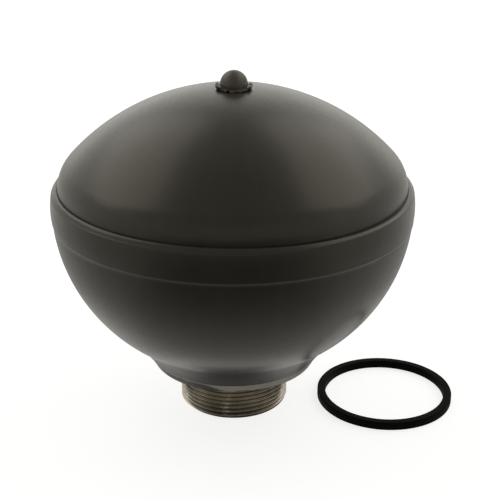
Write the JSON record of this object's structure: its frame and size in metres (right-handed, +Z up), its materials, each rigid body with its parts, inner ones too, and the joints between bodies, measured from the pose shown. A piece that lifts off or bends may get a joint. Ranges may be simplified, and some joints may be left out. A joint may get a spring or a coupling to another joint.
{
  "type": "pressure accumulator",
  "caption": "Hydropneumatic suspension accumulator: crimped steel sphere with a threaded neck, damper valve, rubber diaphragm and a loose square-section seal ring.",
  "frame": {"origin": "centre of the neck's lower end face, on which the sphere stands", "axes": "+Z up the axis of the sphere to the gas fill ball, +X to the side where the loose seal ring lies"},
  "size_m": [0.1326, 0.1166, 0.1133],
  "materials": {
    "shell_lacquer": "satin dark brown-grey lacquer on deep drawn steel",
    "ball_steel": "darkened welded steel",
    "neck_steel": "turned steel, oiled and dark",
    "plain_steel": "machined steel",
    "spring_steel": "blued spring steel",
    "seal_rubber": "black rubber",
    "diaphragm_rubber": "black moulded rubber"
  },
  "bodies": {
    "shell": {"upper_shell": "shell_lacquer", "lower_shell": "shell_lacquer", "fill_ball": "ball_steel", "neck_boss": "neck_steel", "sealing_ring": "seal_rubber", "diaphragm": "diaphragm_rubber", "clamp_ring": "plain_steel", "damper_body": "plain_steel", "damper_pin": "plain_steel", "damper_nut": "plain_steel", "damper_circlip": "spring_steel", "bump_shim_1": "spring_steel", "bump_shim_2": "spring_steel", "bump_shim_3": "spring_steel", "bump_spacer": "plain_steel", "bump_backing": "plain_steel", "rebound_shim_1": "spring_steel", "rebound_shim_2": "spring_steel", "rebound_shim_3": "spring_steel", "rebound_spacer": "plain_steel", "rebound_backing": "plain_steel"},
    "button": {"button_disc": "plain_steel", "button_washer": "plain_steel", "button_rivet": "plain_steel"}
  },
  "joints": [
    {"name": "diaphragm_travel", "type": "slide", "parent": "shell", "child": "button", "axis": [0, 0, 1], "range_m": [0, 0.056], "stiffness_N_per_m": 20, "deforming": ["diaphragm"]}
  ]
}
